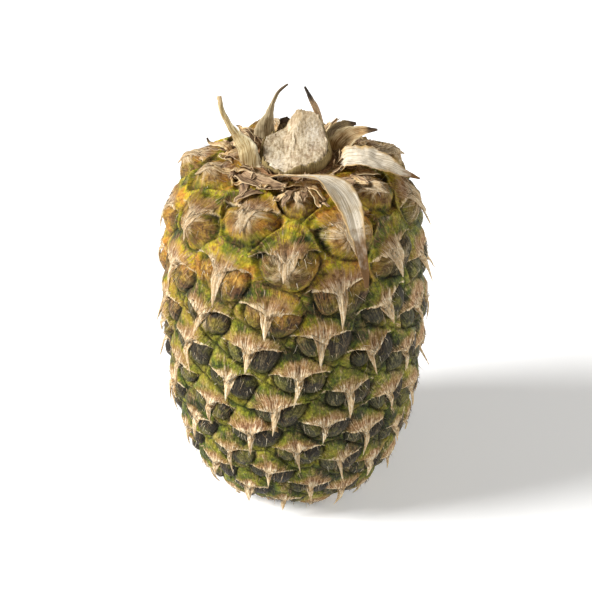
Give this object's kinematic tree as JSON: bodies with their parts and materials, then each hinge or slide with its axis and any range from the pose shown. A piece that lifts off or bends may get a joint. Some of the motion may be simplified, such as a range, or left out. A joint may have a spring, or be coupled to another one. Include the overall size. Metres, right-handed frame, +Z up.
{
  "type": "pineapple",
  "caption": "Whole crownless pineapple standing upside down on its flat crown scar, with the broken fruit stalk and dry stalk leaves on top.",
  "frame": {"origin": "centre of the flat crown scar that the fruit stands on", "axes": "+Z up, from the crown scar to the fruit stalk; -Y is the front, where the long drooping leaf hangs"},
  "size_m": [0.1249, 0.1251, 0.1951],
  "materials": {
    "rind": "waxy green to ochre rind with papery brown bract tips",
    "stalk": "dry, torn, matt fibres",
    "dry_leaf": "dry, papery, lengthwise fibres",
    "pale_leaf": "bleached, dry, lengthwise fibres",
    "dark_leaf": "withered dark brown, matt"
  },
  "bodies": {
    "root": {"fruit": "rind", "stalk_stump": "stalk", "leaf_left_curled": "dry_leaf", "leaf_back_left": "dry_leaf", "leaf_back_dark": "dark_leaf", "leaf_back_spike": "dry_leaf", "leaf_right_back": "dry_leaf", "leaf_right_back_dark": "dark_leaf", "leaf_right_front": "pale_leaf", "leaf_front_drooping": "pale_leaf", "leaf_left_short": "dry_leaf", "collar_flap": "dark_leaf"}
  },
  "joints": []
}
